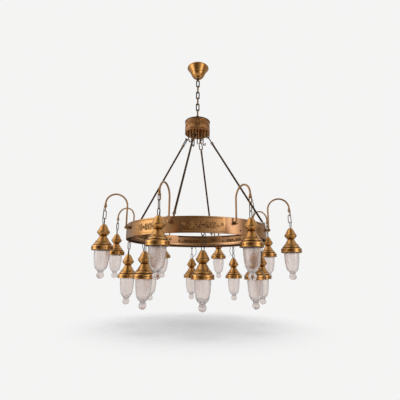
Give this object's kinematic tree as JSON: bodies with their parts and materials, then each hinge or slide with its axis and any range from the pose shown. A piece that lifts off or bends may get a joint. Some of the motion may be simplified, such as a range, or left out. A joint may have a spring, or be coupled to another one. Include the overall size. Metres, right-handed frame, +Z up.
{
  "type": "chandelier",
  "caption": "Round brass chandelier on a chain: a drum and four stays carry a ring with a tier of glass lanterns on goosenecks and a tier under the ring.",
  "frame": {"origin": "middle of the ceiling strap's top face, where it is screwed to the ceiling", "axes": "+Z up, out of the strap's top face into the ceiling; +X to the right and +Y to the back, as the chandelier is pictured; the strap lies along X"},
  "size_m": [1.1144, 1.1144, 1.4989],
  "materials": {
    "antique_brass": "antiqued yellow brass, satin, dark in the grooves",
    "copper_brass": "antiqued copper brass, engraved and embossed, mottled",
    "dark_brass": "dark patinated brass rod and wire",
    "clear_glass": "clear seeded glass, faintly pink white"
  },
  "bodies": {
    "ceiling": {"ceiling_strap": "dark_brass", "canopy": "antique_brass", "canopy_collar": "dark_brass"},
    "link_1": {"chain_link_1": "dark_brass"},
    "chain_middle": {"chain_link_2": "dark_brass", "chain_link_3": "dark_brass", "chain_link_4": "dark_brass", "chain_link_5": "dark_brass"},
    "link_6": {"chain_link_6": "dark_brass"},
    "frame": {"drum_shell": "copper_brass", "hook_spider": "dark_brass", "stay_link_1": "dark_brass", "stay_link_2": "dark_brass", "stay_link_3": "dark_brass", "stay_link_4": "dark_brass", "stay_1": "dark_brass", "stay_2": "dark_brass", "stay_3": "dark_brass", "stay_4": "dark_brass", "ring": "copper_brass", "gooseneck_1": "antique_brass", "gooseneck_2": "antique_brass", "gooseneck_3": "antique_brass", "gooseneck_4": "antique_brass", "gooseneck_5": "antique_brass", "gooseneck_6": "antique_brass", "gooseneck_7": "antique_brass", "gooseneck_8": "antique_brass"},
    "upper_1": {"upper_1_cap": "antique_brass", "upper_1_glass": "clear_glass"},
    "upper_2": {"upper_2_cap": "antique_brass", "upper_2_glass": "clear_glass"},
    "upper_3": {"upper_3_cap": "antique_brass", "upper_3_glass": "clear_glass"},
    "upper_4": {"upper_4_cap": "antique_brass", "upper_4_glass": "clear_glass"},
    "upper_5": {"upper_5_cap": "antique_brass", "upper_5_glass": "clear_glass"},
    "upper_6": {"upper_6_cap": "antique_brass", "upper_6_glass": "clear_glass"},
    "upper_7": {"upper_7_cap": "antique_brass", "upper_7_glass": "clear_glass"},
    "upper_8": {"upper_8_cap": "antique_brass", "upper_8_glass": "clear_glass"},
    "lower_1": {"lower_1_cap": "antique_brass", "lower_1_glass": "clear_glass"},
    "lower_2": {"lower_2_cap": "antique_brass", "lower_2_glass": "clear_glass"},
    "lower_3": {"lower_3_cap": "antique_brass", "lower_3_glass": "clear_glass"},
    "lower_4": {"lower_4_cap": "antique_brass", "lower_4_glass": "clear_glass"},
    "lower_5": {"lower_5_cap": "antique_brass", "lower_5_glass": "clear_glass"},
    "lower_6": {"lower_6_cap": "antique_brass", "lower_6_glass": "clear_glass"},
    "lower_7": {"lower_7_cap": "antique_brass", "lower_7_glass": "clear_glass"},
    "lower_8": {"lower_8_cap": "antique_brass", "lower_8_glass": "clear_glass"}
  },
  "joints": [
    {"name": "chain_loop", "type": "hinge", "parent": "ceiling", "child": "link_1", "pos_m": [0, 0, -0.0981], "axis": [0, 1, 0], "range_deg": [-12, 12]},
    {"name": "chain_top", "type": "hinge", "parent": "link_1", "child": "chain_middle", "pos_m": [0, 0, -0.14005], "axis": [1, 0, 0], "range_deg": [-12, 12]},
    {"name": "chain_bottom", "type": "hinge", "parent": "chain_middle", "child": "link_6", "pos_m": [0, 0, -0.31085], "axis": [1, 0, 0], "range_deg": [-12, 12]},
    {"name": "chain_eye", "type": "hinge", "parent": "link_6", "child": "frame", "pos_m": [0, 0, -0.35355], "axis": [0, 1, 0], "range_deg": [-12, 12]},
    {"name": "upper_swing_1", "type": "hinge", "parent": "frame", "child": "upper_1", "pos_m": [-0.16378, -0.50406, -1.024], "axis": [-0.9511, 0.309, 0], "range_deg": [-20, 35]},
    {"name": "upper_swing_2", "type": "hinge", "parent": "frame", "child": "upper_2", "pos_m": [0.24061, -0.47223, -1.024], "axis": [-0.891, -0.454, 0], "range_deg": [-20, 35]},
    {"name": "upper_swing_3", "type": "hinge", "parent": "frame", "child": "upper_3", "pos_m": [0.50406, -0.16378, -1.024], "axis": [-0.309, -0.9511, 0], "range_deg": [-20, 35]},
    {"name": "upper_swing_4", "type": "hinge", "parent": "frame", "child": "upper_4", "pos_m": [0.47223, 0.24061, -1.024], "axis": [0.454, -0.891, 0], "range_deg": [-20, 35]},
    {"name": "upper_swing_5", "type": "hinge", "parent": "frame", "child": "upper_5", "pos_m": [0.16378, 0.50406, -1.024], "axis": [0.9511, -0.309, 0], "range_deg": [-20, 35]},
    {"name": "upper_swing_6", "type": "hinge", "parent": "frame", "child": "upper_6", "pos_m": [-0.24061, 0.47223, -1.024], "axis": [0.891, 0.454, 0], "range_deg": [-20, 35]},
    {"name": "upper_swing_7", "type": "hinge", "parent": "frame", "child": "upper_7", "pos_m": [-0.50406, 0.16378, -1.024], "axis": [0.309, 0.9511, 0], "range_deg": [-20, 35]},
    {"name": "upper_swing_8", "type": "hinge", "parent": "frame", "child": "upper_8", "pos_m": [-0.47223, -0.24061, -1.024], "axis": [-0.454, 0.891, 0], "range_deg": [-20, 35]},
    {"name": "lower_swing_1", "type": "hinge", "parent": "frame", "child": "lower_1", "pos_m": [0.03009, -0.38232, -1.162], "axis": [-0.9969, -0.0785, 0], "range_deg": [-35, 35]},
    {"name": "lower_swing_2", "type": "hinge", "parent": "frame", "child": "lower_2", "pos_m": [0.29162, -0.24906, -1.162], "axis": [-0.6494, -0.7604, 0], "range_deg": [-35, 35]},
    {"name": "lower_swing_3", "type": "hinge", "parent": "frame", "child": "lower_3", "pos_m": [0.38232, 0.03009, -1.162], "axis": [0.0785, -0.9969, 0], "range_deg": [-35, 35]},
    {"name": "lower_swing_4", "type": "hinge", "parent": "frame", "child": "lower_4", "pos_m": [0.24906, 0.29162, -1.162], "axis": [0.7604, -0.6494, 0], "range_deg": [-35, 35]},
    {"name": "lower_swing_5", "type": "hinge", "parent": "frame", "child": "lower_5", "pos_m": [-0.03009, 0.38232, -1.162], "axis": [0.9969, 0.0785, 0], "range_deg": [-35, 35]},
    {"name": "lower_swing_6", "type": "hinge", "parent": "frame", "child": "lower_6", "pos_m": [-0.29162, 0.24906, -1.162], "axis": [0.6494, 0.7604, 0], "range_deg": [-35, 35]},
    {"name": "lower_swing_7", "type": "hinge", "parent": "frame", "child": "lower_7", "pos_m": [-0.38232, -0.03009, -1.162], "axis": [-0.0785, 0.9969, 0], "range_deg": [-35, 35]},
    {"name": "lower_swing_8", "type": "hinge", "parent": "frame", "child": "lower_8", "pos_m": [-0.24906, -0.29162, -1.162], "axis": [-0.7604, 0.6494, 0], "range_deg": [-35, 35]}
  ]
}
